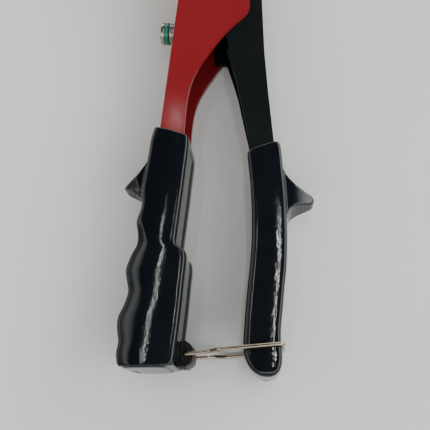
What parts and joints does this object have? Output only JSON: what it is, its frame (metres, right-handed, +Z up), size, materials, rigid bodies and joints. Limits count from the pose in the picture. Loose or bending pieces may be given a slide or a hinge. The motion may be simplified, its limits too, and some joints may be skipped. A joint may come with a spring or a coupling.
{
  "type": "hand riveter",
  "caption": "Plier-type hand riveter lying on its side, with a red folded-steel body, black lever and grips, wire latch loop and screw-in nosepieces.",
  "frame": {"origin": "middle of the underside of the tool as it lies on its side, handles latched", "axes": "+X across the handles from the fixed handle to the lever, +Y along the handles towards the riveting head, +Z up, parallel to the lever pivot"},
  "size_m": [0.1284, 0.2678, 0.028],
  "materials": {
    "red_paint": "satin_gloss",
    "black_coat": "satin",
    "grip_black": "glossy, fine orange peel",
    "lug_black": "matte",
    "plated_steel": "bright nickel plate",
    "plated_wire": "bright nickel plate",
    "steel": "machined",
    "hardened_steel": "oil blackened",
    "spring_steel": "drawn wire",
    "zinc": "as cast",
    "ring_spare": "coloured green",
    "ring_fitted": "coloured yellow"
  },
  "bodies": {
    "body": {"body_shell": "red_paint", "front_block": "zinc", "rear_block": "zinc", "front_rivet_near": "steel", "front_rivet_far": "steel", "rear_rivet_near": "steel", "rear_rivet_far": "steel", "barrel": "red_paint", "rear_cap": "steel", "spare_socket": "steel", "pivot_pin": "plated_steel", "pivot_clip": "steel", "fixed_grip": "grip_black", "latch_lug": "lug_black", "jaw_spring": "spring_steel"},
    "lever": {"lever": "black_coat", "lever_grip": "grip_black"},
    "draw": {"jaw_case": "hardened_steel", "draw_tube": "steel", "draw_yoke": "hardened_steel"},
    "pusher": {"jaw_pusher": "steel"},
    "jaw_upper": {"jaw_upper": "hardened_steel"},
    "jaw_lower": {"jaw_lower": "hardened_steel"},
    "latch": {"latch_loop": "plated_wire"},
    "fitted_nosepiece": {"nosepiece": "plated_steel", "nosepiece_ring": "ring_fitted"},
    "spare_nosepiece": {"spare_nosepiece": "plated_steel", "spare_nosepiece_ring": "ring_spare"}
  },
  "joints": [
    {"name": "lever_pivot", "type": "hinge", "parent": "body", "child": "lever", "pos_m": [0.02515, 0.1114, 0.014], "axis": [0, 0, 1], "range_deg": [0, 54]},
    {"name": "draw_slide", "type": "slide", "parent": "body", "child": "draw", "axis": [1, 0, 0], "range_m": [-0.01072, 0], "deforming": ["jaw_spring"]},
    {"name": "pusher_slide", "type": "slide", "parent": "draw", "child": "pusher", "axis": [1, 0, 0], "range_m": [0, 0.0024]},
    {"name": "jaw_upper_slide", "type": "slide", "parent": "draw", "child": "jaw_upper", "axis": [0.9903, 0.1392, 0], "range_m": [0, 0.00245]},
    {"name": "jaw_lower_slide", "type": "slide", "parent": "draw", "child": "jaw_lower", "axis": [0.9903, -0.1392, 0], "range_m": [0, 0.00245]},
    {"name": "latch_hinge", "type": "hinge", "parent": "body", "child": "latch", "pos_m": [0.00375, -0.1247, 0.014], "axis": [0, 0, 1], "range_deg": [-110, 0]},
    {"name": "nosepiece_unscrew", "type": "slide", "parent": "body", "child": "fitted_nosepiece", "axis": [-1, 0, 0], "range_m": [0, 0.013]},
    {"name": "spare_unscrew", "type": "slide", "parent": "body", "child": "spare_nosepiece", "axis": [-0.9962, 0.0877, 0], "range_m": [0, 0.014]}
  ],
  "couplings": [
    {"joint": "draw_slide", "follows": "lever_pivot", "m_per_rad": -0.011353},
    {"joint": "jaw_upper_slide", "follows": "pusher_slide", "ratio": 1.0098},
    {"joint": "jaw_lower_slide", "follows": "pusher_slide", "ratio": 1.0098}
  ]
}
